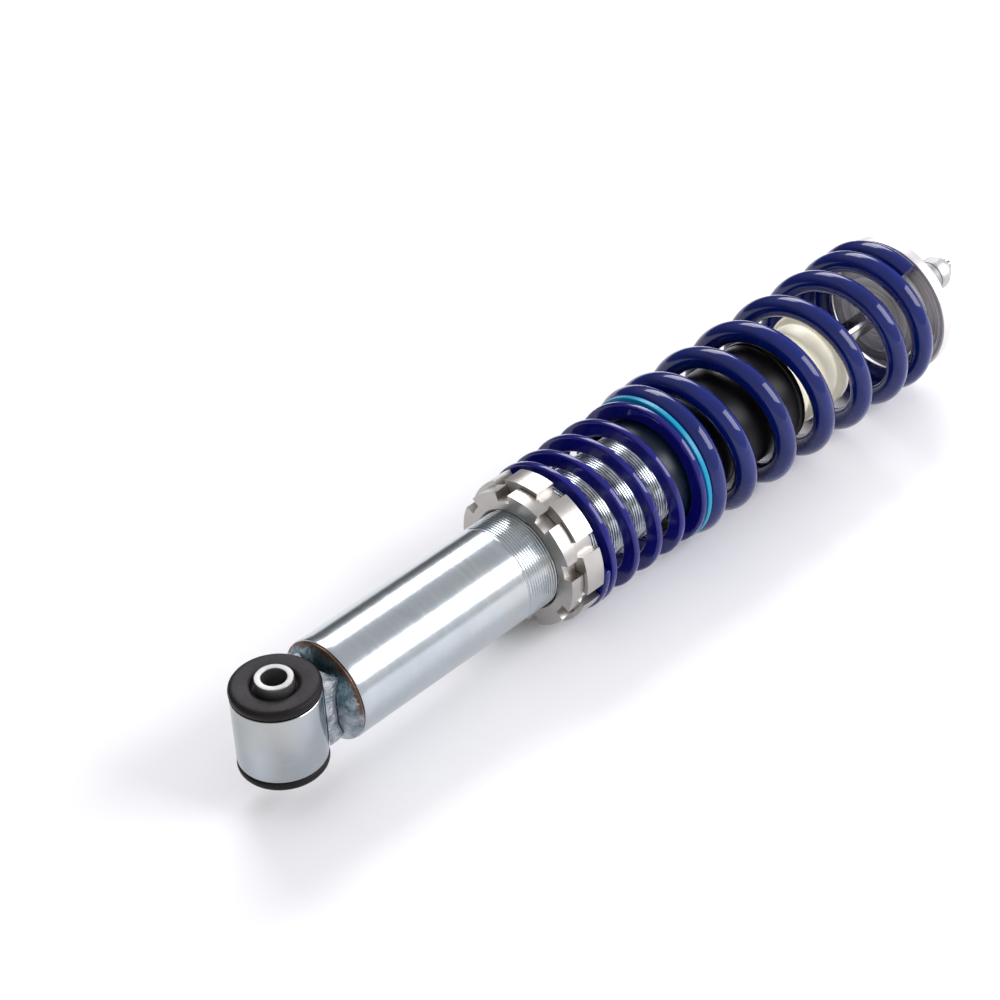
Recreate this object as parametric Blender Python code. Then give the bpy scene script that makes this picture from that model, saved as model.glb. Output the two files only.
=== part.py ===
"""Coilover strut, lying on its springs: +X runs from the lower eye to the threaded top, +Z is up."""

import math

import bmesh
import bpy

for old in list(bpy.data.objects):
    bpy.data.objects.remove(old, do_unlink=True)

MM = 0.001

# Driving dimensions, in millimetres, with x counted from the eye's centre.
FIT = 0.3
EYE_R = 20.4
EYE_HALF = 17.5
EYE_WALL = 3.2
BUSH_R = 20.6
BUSH_TOP = 22.6
PIN_R = 8.8
PIN_BORE_R = 5.8
PIN_HALF = 25.9
CAP_X = 21.9
CAP_RIM_X = 27.8
TUBE_R = 25.0
TUBE_WALL = 1.6
TUBE_END_X = 291.0
LOCK_X = 149.3
LOCK_LONG = 7.6
LOCK_R = 35.0
PERCH_LONG = 11.0
PERCH_R = 37.4
NOTCHES = 8
NOTCH_DEPTH = 4.6
NOTCH_WIDE = 8.2
HELPER_R = 38.4
HELPER_IN_R = 30.0
HELPER_THICK = 3.6
HELPER_PITCH = 16.0
SPRING_MEAN_R = 35.2
WIRE_R = 5.5
SPRING_PITCH = 29.85
RING_LONG = 2.8
RING_R = 38.6
DUST_R = 27.4
DUST_X = 262.0
DUST_LONG = 64.0
BUMP_X = 320.0
BUMP_LONG = 45.0
BUMP_R = 25.2
BUMP_WAIST_R = 21.6
ROD_R = 5.5
STUD_R = 4.8
BOSS_R = 27.2
BOSS_LONG = 9.8
PLATE_R = 37.5
PLATE_LONG = 8.0
HUB_LONG = 7.2
SPACER_R = 8.6
SPACER_LONG = 20.0
NUT_FLATS = 17.0
NUT_LONG = 10.5
TANG_LONG = 4.0
WORK_R = 15.5

# Stations that follow from them.
PERCH_X = LOCK_X + LOCK_LONG + FIT
HELPER_X = PERCH_X + PERCH_LONG + FIT
FIRST_TURN_RISE = HELPER_THICK + 0.6
HELPER_TURNS = 5.45
HELPER_FREE = FIRST_TURN_RISE + 4.0 * HELPER_PITCH
RING_X = HELPER_X + HELPER_THICK + HELPER_FREE + FIT
SPRING_X = RING_X + RING_LONG + FIT
SPRING_TURNS = 7.3
SPRING_FLAT = 0.45
AXIS_Z = SPRING_MEAN_R + WIRE_R


def smooth_ramp(value, low, high):
    """Integral of a line that climbs from 0 at low to 1 at high."""
    if value <= low:
        return 0.0
    if value >= high:
        return value - (low + high) / 2.0
    return (value - low) ** 2 / (2.0 * (high - low))


def spring_rise(turn):
    """Axial rise of the main spring's wire centre after so many turns."""
    closed = 0.72 * smooth_ramp(turn, SPRING_FLAT - 0.05, SPRING_FLAT + 0.05)
    opened = 0.28 * smooth_ramp(turn, 1.2, 1.4)
    fall = smooth_ramp(turn, SPRING_TURNS - 2.15, SPRING_TURNS + 0.515)
    return SPRING_PITCH * (closed + opened - fall)


def helper_rise(turn):
    """Axial rise of the helper spring's flat wire after so many turns."""
    first = FIRST_TURN_RISE * min(turn, 1.0)
    climb = smooth_ramp(turn, 0.9, 1.1)
    steeper = smooth_ramp(turn, 4.0, 4.1)
    level = smooth_ramp(turn, 4.735, 4.885)
    return first + HELPER_PITCH * (climb + 0.25 * steeper - 1.25 * level)


SPRING_LONG = spring_rise(SPRING_TURNS)
SEAT_X = SPRING_X + 2.0 * WIRE_R + SPRING_LONG + FIT
BOSS_X = SEAT_X - BOSS_LONG
HUB_X = SEAT_X + PLATE_LONG + HUB_LONG
COLLAR_X = HUB_X + FIT
SPACER_X = COLLAR_X + 1.5 + FIT
NUT_X = SPACER_X + SPACER_LONG + FIT
STUD_END_X = NUT_X + NUT_LONG + 0.9
LENGTH = BUSH_R + STUD_END_X + TANG_LONG
SHIFT_X = BUSH_R - LENGTH / 2.0


def paint(name, colour, roughness, metallic):
    """A plain surface colour for one node."""
    material = bpy.data.materials.new(name)
    material.use_nodes = True
    shader = material.node_tree.nodes["Principled BSDF"]
    shader.inputs["Base Color"].default_value = (*colour, 1.0)
    shader.inputs["Roughness"].default_value = roughness
    shader.inputs["Metallic"].default_value = metallic
    material.diffuse_color = (*colour, 1.0)
    return material


ZINC = ((0.62, 0.66, 0.70), 0.28, 1.0)
STEEL = ((0.58, 0.58, 0.58), 0.30, 1.0)
CHROME = ((0.78, 0.78, 0.80), 0.08, 1.0)
ALUMINIUM = ((0.74, 0.72, 0.70), 0.30, 1.0)
RUBBER = ((0.035, 0.030, 0.032), 0.65, 0.0)
BLUE = ((0.010, 0.016, 0.160), 0.18, 0.0)
VIOLET = ((0.012, 0.008, 0.200), 0.20, 0.0)
TURQUOISE = ((0.000, 0.300, 0.520), 0.35, 0.0)
BLACK = ((0.014, 0.013, 0.013), 0.50, 0.0)
CREAM = ((0.840, 0.800, 0.640), 0.45, 0.0)
NYLON = ((0.120, 0.060, 0.030), 0.45, 0.0)
BRONZE = ((0.55, 0.38, 0.20), 0.35, 1.0)
BURNT = ((0.22, 0.24, 0.27), 0.45, 1.0)


def finish(name, mesh, look, origin, sharp=35.0):
    """Links a mesh, given in millimetres about the eye's centre, as one node with its own origin."""
    ox, oy, oz = origin
    for vertex in mesh.vertices:
        x, y, z = vertex.co
        vertex.co = ((x - ox) * MM, (y - oy) * MM, (z - oz) * MM)
    obj = bpy.data.objects.new(name, mesh)
    bpy.context.scene.collection.objects.link(obj)
    obj.location = ((ox + SHIFT_X) * MM, oy * MM, (oz + AXIS_Z) * MM)
    mesh.materials.append(paint(name + "_paint", *look))
    mesh.shade_smooth()
    mesh.set_sharp_from_angle(angle=math.radians(sharp))
    return obj


def close_up(name, points, faces):
    """A mesh from points and faces, with its normals facing out."""
    mesh = bpy.data.meshes.new(name)
    mesh.from_pydata(points, [], faces)
    shape = bmesh.new()
    shape.from_mesh(mesh)
    bmesh.ops.recalc_face_normals(shape, faces=shape.faces)
    shape.to_mesh(mesh)
    shape.free()
    mesh.update()
    return mesh


def ring_of(station, radius, around):
    """One loop of points: radius is a length or a function of the angle."""
    loop = []
    for step in range(around):
        angle = 2.0 * math.pi * step / around
        reach = radius(angle) if callable(radius) else radius
        loop.append((station, reach * math.cos(angle), reach * math.sin(angle)))
    return loop


def upright(point):
    """Turns a point of a body about X into the same body about Z."""
    x, y, z = point
    return (y, z, x)


def turned(name, profile, look, around=24, vertical=False, origin=(0.0, 0.0, 0.0), sharp=35.0):
    """A closed body of loops: profile lists (station, radius), and a radius of 0 ends on the axis."""
    points = []
    faces = []
    loops = []
    solid = profile[0][1] == 0.0
    for station, radius in profile:
        if radius == 0.0:
            loops.append([len(points)])
            points.append((station, 0.0, 0.0))
            continue
        loops.append(list(range(len(points), len(points) + around)))
        points.extend(ring_of(station, radius, around))
    pairs = list(zip(loops, loops[1:]))
    if not solid:
        pairs.append((loops[-1], loops[0]))
    for first, second in pairs:
        for step in range(around):
            after = (step + 1) % around
            if len(first) == 1:
                faces.append((first[0], second[after], second[step]))
            elif len(second) == 1:
                faces.append((first[step], first[after], second[0]))
            else:
                faces.append((first[step], first[after], second[after], second[step]))
    if vertical:
        points = [upright(point) for point in points]
    return finish(name, close_up(name, points, faces), look, origin, sharp)


def swept(name, section, rise, turns, start_angle, per_turn, look, origin):
    """A wire wound right-handed about X: section lists (station, radius) round the wire."""
    count = int(round(turns * per_turn))
    points = []
    faces = []
    size = len(section)
    for step in range(count + 1):
        turn = turns * step / count
        angle = start_angle + 2.0 * math.pi * turn
        for station, radius in section:
            points.append(
                (station + rise(turn), radius * math.cos(angle), radius * math.sin(angle))
            )
    for step in range(count):
        for side in range(size):
            after = (side + 1) % size
            here = step * size
            there = here + size
            faces.append((here + side, here + after, there + after, there + side))
    faces.append(tuple(range(size)))
    faces.append(tuple(count * size + side for side in reversed(range(size))))
    return finish(name, close_up(name, points, faces), look, origin, 40.0)


def notched(name, station, length, radius, bore, phase, look):
    """A spanner ring with square notches round its rim and a chamfer on both edges."""
    pitch = 360.0 / NOTCHES
    floor = radius - NOTCH_DEPTH
    half = math.degrees(math.asin(NOTCH_WIDE / 2.0 / radius))
    angles = []
    for index in range(NOTCHES):
        middle = phase + pitch * index
        angles.append((middle - half, 0))
        angles.append((middle - half + 0.6, 1))
        angles.append((middle, 1))
        angles.append((middle + half - 0.6, 1))
        angles.append((middle + half, 0))
        land = pitch - 2.0 * half
        for part in range(1, 4):
            angles.append((middle + half + land * part / 4.0, 0))
    edge = 0.7
    layers = (
        (station, bore + edge, True),
        (station, radius - edge, False),
        (station + edge, radius, False),
        (station + length - edge, radius, False),
        (station + length, radius - edge, False),
        (station + length, bore + edge, True),
        (station + length - edge, bore, True),
        (station + edge, bore, True),
    )
    points = []
    faces = []
    around = len(angles)
    for x, reach, plain in layers:
        for degrees, cut in angles:
            near = min(floor, reach) if cut and not plain else reach
            angle = math.radians(degrees)
            points.append((x, near * math.cos(angle), near * math.sin(angle)))
    for layer in range(len(layers)):
        here = layer * around
        there = ((layer + 1) % len(layers)) * around
        for step in range(around):
            after = (step + 1) % around
            faces.append((here + step, here + after, there + after, there + step))
    return finish(name, close_up(name, points, faces), look, (station, 0.0, 0.0), 30.0)


def hexagon(flats):
    """Radius of a hexagon of that width across its flats, at an angle."""

    def reach(angle):
        turn = math.fmod(angle, math.pi / 3.0) - math.pi / 6.0
        return flats / 2.0 / math.cos(turn)

    return reach


# Lower eye with its bush.
eye_in = EYE_R - EYE_WALL
turned(
    "lower_eye",
    [
        (-EYE_HALF, eye_in + 0.6),
        (-EYE_HALF, EYE_R - 0.6),
        (-EYE_HALF + 0.6, EYE_R),
        (EYE_HALF - 0.6, EYE_R),
        (EYE_HALF, EYE_R - 0.6),
        (EYE_HALF, eye_in + 0.6),
        (EYE_HALF - 0.6, eye_in),
        (-EYE_HALF + 0.6, eye_in),
    ],
    ZINC,
    vertical=True,
    around=32,
)
bore = PIN_R + FIT
inner = eye_in - FIT
lip = EYE_HALF + FIT
bush_half = [
    (BUSH_TOP - 1.6, bore),
    (BUSH_TOP - 0.2, bore + 3.0),
    (BUSH_TOP, bore + 5.6),
    (BUSH_TOP - 1.0, BUSH_R - 1.5),
    (BUSH_TOP - 2.6, BUSH_R),
    (lip + 0.8, BUSH_R - 0.1),
    (lip, BUSH_R - 0.9),
    (lip, inner),
]
turned(
    "bush_rubber",
    bush_half + [(-station, radius) for station, radius in reversed(bush_half)],
    RUBBER,
    vertical=True,
    around=24,
    sharp=50.0,
)
turned(
    "bush_sleeve",
    [
        (-PIN_HALF, PIN_BORE_R + 0.5),
        (-PIN_HALF, PIN_R - 0.4),
        (-PIN_HALF + 0.4, PIN_R),
        (PIN_HALF - 0.4, PIN_R),
        (PIN_HALF, PIN_R - 0.4),
        (PIN_HALF, PIN_BORE_R + 0.5),
        (PIN_HALF - 0.5, PIN_BORE_R),
        (-PIN_HALF + 0.5, PIN_BORE_R),
    ],
    STEEL,
    vertical=True,
    around=24,
)

# Weld bead that saddles the eye onto the end cap.
saddle = []
reach = EYE_R + FIT
spread = math.radians(54.0)
for step in range(15):
    angle = -spread + 2.0 * spread * step / 14
    saddle.append((reach * math.cos(angle), reach * math.sin(angle)))
wing_x, wing_y = saddle[-1]
flank_x = CAP_X - FIT
flank_y = wing_y + 3.6
for step in range(1, 5):
    part = step / 4.0
    bulge = 0.9 * math.sin(math.pi * part)
    saddle.append((wing_x + (flank_x - wing_x) * part + bulge * 0.3, wing_y + (flank_y - wing_y) * part))
for step in range(4):
    part = step / 4.0
    bulge = 0.9 * math.sin(math.pi * part)
    saddle.append((flank_x - (flank_x - wing_x) * part + bulge * 0.3, -flank_y + (flank_y - wing_y) * part))
weld_top = EYE_HALF - 0.8
weld_levels = (
    (-weld_top, 0.0),
    (-weld_top + 1.2, 1.0),
    (weld_top - 1.2, 1.0),
    (weld_top, 0.0),
)
weld_points = []
weld_faces = []
ring_size = len(saddle)
for level, full in weld_levels:
    for x, y in saddle:
        side = 1.0 if abs(y) <= wing_y + 0.001 else 0.94 + 0.06 * full
        weld_points.append((x, y * side, level))
for level in range(len(weld_levels) - 1):
    here = level * ring_size
    there = here + ring_size
    for step in range(ring_size):
        after = (step + 1) % ring_size
        weld_faces.append((here + step, here + after, there + after, there + step))
weld_faces.append(tuple(reversed(range(ring_size))))
top_start = (len(weld_levels) - 1) * ring_size
weld_faces.append(tuple(top_start + step for step in range(ring_size)))
finish("eye_weld", close_up("eye_weld", weld_points, weld_faces), BURNT, (0.0, 0.0, 0.0), 50.0)

# Body.
tube_in = TUBE_R - TUBE_WALL
spigot = tube_in - FIT
turned(
    "base_cap",
    [
        (CAP_X, 0.0),
        (CAP_X, TUBE_R - 2.4),
        (CAP_X + 0.8, TUBE_R - 0.9),
        (CAP_X + 2.2, TUBE_R - 0.2),
        (CAP_RIM_X, TUBE_R - 0.2),
        (CAP_RIM_X, spigot),
        (CAP_RIM_X + 5.2, spigot),
        (CAP_RIM_X + 5.2, 0.0),
    ],
    ZINC,
    around=32,
)
turned(
    "damper_tube",
    [
        (CAP_RIM_X + FIT, tube_in),
        (CAP_RIM_X + FIT, TUBE_R),
        (TUBE_END_X - 0.8, TUBE_R),
        (TUBE_END_X, TUBE_R - 0.6),
        (TUBE_END_X, tube_in),
    ],
    ZINC,
    around=36,
)

# Twin-tube damper inside the body.
work_in = WORK_R - 1.3
foot_x = CAP_RIM_X + 5.2 + FIT
shoulder_x = foot_x + 4.4
guide_x = 257.5
turned(
    "foot_valve",
    [
        (foot_x, 2.6),
        (foot_x, spigot - 2.5),
        (shoulder_x, spigot - 2.5),
        (shoulder_x, work_in - FIT),
        (shoulder_x + 8.0, work_in - FIT),
        (shoulder_x + 8.0, 2.6),
    ],
    STEEL,
    around=24,
)
turned(
    "foot_valve_disc",
    [
        (shoulder_x + 8.3, 2.6),
        (shoulder_x + 8.3, 10.0),
        (shoulder_x + 9.1, 10.0),
        (shoulder_x + 9.1, 2.6),
    ],
    STEEL,
    around=20,
)
turned(
    "foot_valve_pin",
    [
        (foot_x + 0.6, 0.0),
        (foot_x + 0.6, 2.2),
        (shoulder_x + 9.4, 2.2),
        (shoulder_x + 9.4, 4.4),
        (shoulder_x + 11.2, 4.4),
        (shoulder_x + 11.2, 0.0),
    ],
    STEEL,
    around=12,
)
turned(
    "pressure_tube",
    [
        (shoulder_x + FIT, work_in),
        (shoulder_x + FIT, WORK_R),
        (guide_x - FIT, WORK_R),
        (guide_x - FIT, work_in),
    ],
    STEEL,
    around=24,
)
turned(
    "rod_guide",
    [
        (guide_x - 7.5, 7.2),
        (guide_x - 7.5, work_in - FIT),
        (guide_x, work_in - FIT),
        (guide_x, spigot),
        (guide_x + 12.5, spigot),
        (guide_x + 12.5, 7.2),
    ],
    STEEL,
    around=24,
)
turned(
    "guide_bush",
    [
        (guide_x - 7.0, ROD_R + 0.35),
        (guide_x - 7.0, 6.9),
        (guide_x + 12.0, 6.9),
        (guide_x + 12.0, ROD_R + 0.35),
    ],
    BRONZE,
    around=24,
)
seal_x = guide_x + 12.8
turned(
    "rod_seal",
    [
        (seal_x, ROD_R + 0.35),
        (seal_x, spigot - 0.4),
        (seal_x + 6.0, spigot - 0.4),
        (seal_x + 6.0, 10.0),
        (seal_x + 7.6, 8.0),
        (seal_x + 7.6, ROD_R + 0.35),
    ],
    RUBBER,
    around=24,
)
gland_x = seal_x + 6.3
gland_end = TUBE_END_X + 1.2
turned(
    "gland_nut",
    [
        (gland_x, 10.6),
        (gland_x, 19.4),
        (gland_x + 2.9, 19.4),
        (gland_x + 2.9, spigot),
        (gland_end - 0.8, spigot),
        (gland_end, spigot - 0.8),
        (gland_end, 8.0),
        (gland_x + 6.0, 8.0),
        (gland_x + 6.0, 10.6),
    ],
    STEEL,
    around=24,
)
o_ring = []
for step in range(8):
    angle = 2.0 * math.pi * step / 8
    o_ring.append((gland_x + 1.4 + 1.05 * math.cos(angle), 21.2 + 1.05 * math.sin(angle)))
turned("gland_o_ring", o_ring, RUBBER, around=24, sharp=60.0)

# Rod with the piston at its inner end.
piston_x = 223.0
stack_r = 4.0
rod_x = piston_x + 16.3
recess_x = BOSS_X + 6.0
turned(
    "piston_rod",
    [
        (piston_x - 11.5, 0.0),
        (piston_x - 11.5, stack_r - 0.5),
        (piston_x - 11.0, stack_r),
        (rod_x, stack_r),
        (rod_x, ROD_R),
        (recess_x - 0.6, ROD_R),
        (recess_x, STUD_R),
        (STUD_END_X - 0.6, STUD_R),
        (STUD_END_X, STUD_R - 0.6),
        (STUD_END_X, lambda angle: 3.4 - 0.9 * abs(math.cos(angle)) ** 0.5),
        (STUD_END_X + TANG_LONG, lambda angle: 3.4 - 0.9 * abs(math.cos(angle)) ** 0.5),
        (STUD_END_X + TANG_LONG, 0.0),
    ],
    CHROME,
    around=20,
    origin=(guide_x, 0.0, 0.0),
)
stack_bore = stack_r + 0.3
turned(
    "piston",
    [
        (piston_x, stack_bore),
        (piston_x, work_in - 1.0),
        (piston_x + 3.4, work_in - 1.0),
        (piston_x + 3.4, work_in - 2.2),
        (piston_x + 10.6, work_in - 2.2),
        (piston_x + 10.6, work_in - 1.0),
        (piston_x + 14.0, work_in - 1.0),
        (piston_x + 14.0, stack_bore),
    ],
    STEEL,
    around=24,
    origin=(guide_x, 0.0, 0.0),
)
turned(
    "piston_band",
    [
        (piston_x + 3.8, work_in - 1.9),
        (piston_x + 3.8, work_in - 0.35),
        (piston_x + 10.2, work_in - 0.35),
        (piston_x + 10.2, work_in - 1.9),
    ],
    BRONZE,
    around=24,
    origin=(guide_x, 0.0, 0.0),
)
for shim_name, shim_x, shim_r in (
    ("rebound_shims", piston_x - 1.9, 9.0),
    ("compression_shims", piston_x + 14.3, 10.0),
):
    turned(
        shim_name,
        [
            (shim_x, stack_bore),
            (shim_x, shim_r),
            (shim_x + 1.6, shim_r),
            (shim_x + 1.6, stack_bore),
        ],
        STEEL,
        around=20,
        origin=(guide_x, 0.0, 0.0),
    )
turned(
    "piston_nut",
    [
        (piston_x - 9.4, stack_bore),
        (piston_x - 9.4, hexagon(12.0)),
        (piston_x - 2.2, hexagon(12.0)),
        (piston_x - 2.2, stack_bore),
    ],
    STEEL,
    around=24,
    origin=(guide_x, 0.0, 0.0),
)
turned(
    "rebound_stop",
    [
        (guide_x - 13.0, ROD_R + FIT),
        (guide_x - 13.0, 9.0),
        (guide_x - 7.8, 9.0),
        (guide_x - 7.8, ROD_R + FIT),
    ],
    RUBBER,
    around=20,
    origin=(guide_x, 0.0, 0.0),
)

# Spring seat rings on the body's thread.
thread_bore = TUBE_R + 0.35
notched("lock_ring", LOCK_X, LOCK_LONG, LOCK_R, thread_bore, 31.0, ALUMINIUM)
notched("perch_ring", PERCH_X, PERCH_LONG, PERCH_R, thread_bore, 17.0, ALUMINIUM)

# Helper spring of flat wire: its edges are rounded, the outer one more.
edge_r = HELPER_THICK / 2.0
flat = [
    (0.0, HELPER_IN_R + 0.8),
    (0.0, HELPER_R - 1.3),
    (edge_r * 0.5, HELPER_R - 0.3),
    (edge_r, HELPER_R),
    (edge_r * 1.5, HELPER_R - 0.3),
    (HELPER_THICK, HELPER_R - 1.3),
    (HELPER_THICK, HELPER_IN_R + 0.8),
    (edge_r, HELPER_IN_R),
]
helper_section = [(HELPER_X + station, radius) for station, radius in flat]
swept(
    "helper_spring",
    helper_section,
    helper_rise,
    HELPER_TURNS,
    math.radians(180.0),
    20,
    VIOLET,
    (HELPER_X, 0.0, 0.0),
)

# Ring between the springs, with the sleeve that centres both of them.
guide_out = SPRING_MEAN_R - WIRE_R - 0.6
guide_in = DUST_R + 0.6
turned(
    "spring_separator",
    [
        (RING_X - 13.0, guide_in),
        (RING_X - 13.0, guide_out - 0.4),
        (RING_X - 12.6, guide_out),
        (RING_X, guide_out),
        (RING_X, RING_R - 0.3),
        (RING_X + 0.3, RING_R),
        (RING_X + RING_LONG - 0.3, RING_R),
        (RING_X + RING_LONG, RING_R - 0.3),
        (RING_X + RING_LONG, guide_out),
        (RING_X + RING_LONG + 11.6, guide_out),
        (RING_X + RING_LONG + 12.0, guide_out - 0.4),
        (RING_X + RING_LONG + 12.0, guide_in),
    ],
    TURQUOISE,
    around=32,
    origin=(RING_X, 0.0, 0.0),
)

# Main spring of round wire, with closed ends.
sides = 8
round_section = []
for step in range(sides):
    angle = 2.0 * math.pi * (step + 0.5) / sides
    reach = WIRE_R / math.cos(math.pi / sides)
    round_section.append(
        (SPRING_X + WIRE_R + reach * math.cos(angle), SPRING_MEAN_R + reach * math.sin(angle))
    )
swept(
    "main_spring",
    round_section,
    spring_rise,
    SPRING_TURNS,
    math.radians(18.0),
    20,
    BLUE,
    (SPRING_X, 0.0, 0.0),
)

# Dust tube over the body's end, clipped to the bump stop on the rod.
dust_end = DUST_X + DUST_LONG
turned(
    "dust_tube",
    [
        (DUST_X, DUST_R - 1.3),
        (DUST_X, DUST_R - 0.4),
        (DUST_X + 0.6, DUST_R),
        (dust_end - 3.4, DUST_R),
        (dust_end - 2.6, DUST_R + 0.7),
        (dust_end - 0.5, DUST_R + 0.7),
        (dust_end, DUST_R + 0.2),
        (dust_end, BUMP_R - 0.8),
        (dust_end - 2.4, BUMP_R - 0.8),
        (dust_end - 3.2, DUST_R - 1.3),
    ],
    BLACK,
    around=32,
    origin=(DUST_X, 0.0, 0.0),
)
cell = BUMP_LONG / 2.0
bump = [(BUMP_X, ROD_R + 0.4), (BUMP_X, BUMP_R - 1.0), (BUMP_X + 1.0, BUMP_R)]
for start in (0.0, cell):
    base = BUMP_X + start
    if start > 0.0:
        bump.append((base - 1.3, BUMP_R))
        bump.append((base + 1.3, BUMP_R))
    bump.append((base + 3.0, BUMP_R - 1.6))
    bump.append((base + 5.0, BUMP_WAIST_R - 0.4))
    bump.append((base + 6.6, BUMP_WAIST_R + 0.5))
    bump.append((base + cell - 6.6, BUMP_WAIST_R + 0.5))
    bump.append((base + cell - 5.0, BUMP_WAIST_R - 0.4))
    bump.append((base + cell - 3.0, BUMP_R - 1.6))
bump.extend(
    [
        (BUMP_X + BUMP_LONG - 1.0, BUMP_R),
        (BUMP_X + BUMP_LONG, BUMP_R - 0.8),
        (BUMP_X + BUMP_LONG, ROD_R + 0.4),
    ]
)
turned("bump_stop", bump, CREAM, around=24, origin=(BUMP_X, 0.0, 0.0), sharp=50.0)

# Upper spring plate and what clamps it.
face_x = SEAT_X + PLATE_LONG
stud_bore = STUD_R + FIT
turned(
    "top_plate",
    [
        (BOSS_X, 8.6),
        (BOSS_X, BOSS_R - 0.8),
        (BOSS_X + 0.8, BOSS_R),
        (SEAT_X, BOSS_R),
        (SEAT_X, PLATE_R - 0.5),
        (SEAT_X + 0.5, PLATE_R),
        (SEAT_X + 5.8, PLATE_R),
        (SEAT_X + 6.4, PLATE_R - 0.5),
        (face_x, 31.0),
        (face_x, 23.0),
        (face_x + 0.6, 21.4),
        (HUB_X - 0.6, 11.8),
        (HUB_X, 10.6),
        (HUB_X, stud_bore),
        (recess_x + FIT, stud_bore),
        (recess_x + FIT, 8.6),
    ],
    ALUMINIUM,
    around=32,
    origin=(guide_x, 0.0, 0.0),
    sharp=25.0,
)
turned(
    "top_collar",
    [
        (COLLAR_X, stud_bore),
        (COLLAR_X, 10.0),
        (COLLAR_X + 0.4, 10.4),
        (COLLAR_X + 1.1, 10.4),
        (COLLAR_X + 1.5, 10.0),
        (COLLAR_X + 1.5, stud_bore),
    ],
    ZINC,
    around=24,
    origin=(guide_x, 0.0, 0.0),
)
turned(
    "spacer_sleeve",
    [
        (SPACER_X, stud_bore),
        (SPACER_X, SPACER_R + 0.7),
        (SPACER_X + 1.6, SPACER_R + 0.7),
        (SPACER_X + 2.0, SPACER_R),
        (SPACER_X + SPACER_LONG - 0.5, SPACER_R),
        (SPACER_X + SPACER_LONG, SPACER_R - 0.5),
        (SPACER_X + SPACER_LONG, stud_bore),
    ],
    ZINC,
    around=24,
    origin=(guide_x, 0.0, 0.0),
)
nut_hex = hexagon(NUT_FLATS)
hex_long = NUT_LONG * 0.62
turned(
    "top_nut",
    [
        (NUT_X, stud_bore),
        (NUT_X, NUT_FLATS / 2.0),
        (NUT_X + 0.6, lambda angle: min(nut_hex(angle), NUT_FLATS / 2.0 + 0.9)),
        (NUT_X + hex_long - 0.7, lambda angle: min(nut_hex(angle), NUT_FLATS / 2.0 + 0.9)),
        (NUT_X + hex_long, NUT_FLATS / 2.0 - 0.2),
        (NUT_X + hex_long + 0.5, NUT_FLATS / 2.0 - 0.9),
        (NUT_X + NUT_LONG - 1.4, NUT_FLATS / 2.0 - 1.1),
        (NUT_X + NUT_LONG - 0.4, NUT_FLATS / 2.0 - 1.7),
        (NUT_X + NUT_LONG, NUT_FLATS / 2.0 - 2.3),
        (NUT_X + NUT_LONG - 0.8, NUT_FLATS / 2.0 - 2.6),
        (NUT_X + NUT_LONG - 0.8, NUT_FLATS / 2.0 - 1.9),
        (NUT_X + NUT_LONG - 3.4, NUT_FLATS / 2.0 - 1.9),
        (NUT_X + NUT_LONG - 3.4, stud_bore),
    ],
    ZINC,
    around=24,
    origin=(guide_x, 0.0, 0.0),
    sharp=25.0,
)
turned(
    "nut_insert",
    [
        (NUT_X + NUT_LONG - 3.1, stud_bore),
        (NUT_X + NUT_LONG - 3.1, NUT_FLATS / 2.0 - 2.2),
        (NUT_X + NUT_LONG - 1.1, NUT_FLATS / 2.0 - 2.2),
        (NUT_X + NUT_LONG - 1.1, stud_bore),
    ],
    NYLON,
    around=20,
    origin=(guide_x, 0.0, 0.0),
)
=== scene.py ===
"""Looks of a coilover strut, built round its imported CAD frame."""

import math

import bmesh
import bpy
import numpy as np
from mathutils import Matrix, Vector


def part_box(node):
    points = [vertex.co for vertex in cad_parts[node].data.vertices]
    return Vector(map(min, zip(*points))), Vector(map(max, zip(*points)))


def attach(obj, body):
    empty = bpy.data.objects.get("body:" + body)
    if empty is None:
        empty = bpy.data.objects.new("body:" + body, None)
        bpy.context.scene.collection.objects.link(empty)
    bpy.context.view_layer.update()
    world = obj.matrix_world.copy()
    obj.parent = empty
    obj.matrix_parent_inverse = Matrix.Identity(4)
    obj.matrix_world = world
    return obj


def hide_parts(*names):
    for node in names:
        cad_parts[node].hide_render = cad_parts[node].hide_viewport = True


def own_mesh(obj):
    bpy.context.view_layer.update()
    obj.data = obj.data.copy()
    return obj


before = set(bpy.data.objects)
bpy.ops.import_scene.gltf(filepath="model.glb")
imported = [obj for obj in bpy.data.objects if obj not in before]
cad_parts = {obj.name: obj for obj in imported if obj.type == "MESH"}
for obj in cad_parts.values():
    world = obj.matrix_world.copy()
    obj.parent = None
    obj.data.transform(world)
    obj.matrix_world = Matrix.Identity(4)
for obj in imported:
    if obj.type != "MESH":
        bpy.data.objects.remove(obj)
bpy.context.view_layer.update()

MM = 0.001
FIT = 0.3

# The strut's own frame: millimetres, x from the eye's centre, the axis at y = z = 0.
EYE_LOW, EYE_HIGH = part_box("lower_eye")
EYE_X = (EYE_LOW[0] + EYE_HIGH[0]) / 2.0
AXIS_Z = (EYE_LOW[2] + EYE_HIGH[2]) / 2.0


def ends(node, axis=0):
    """First and last station of a CAD node along an axis, in the strut's own frame."""
    low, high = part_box(node)
    shift = (EYE_X, 0.0, AXIS_Z)[axis]
    return (low[axis] - shift) / MM, (high[axis] - shift) / MM


def reach(node):
    """Outer radius of a CAD node that is turned about the strut's axis."""
    low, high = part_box(node)
    return (high[1] - low[1]) / 2.0 / MM


# ---------------------------------------------------------------- node helpers


# The sockets for colours among those of a Mix node.
MIX_COLOUR_A, MIX_COLOUR_B, MIX_COLOUR_OUT = 6, 7, 2


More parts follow.
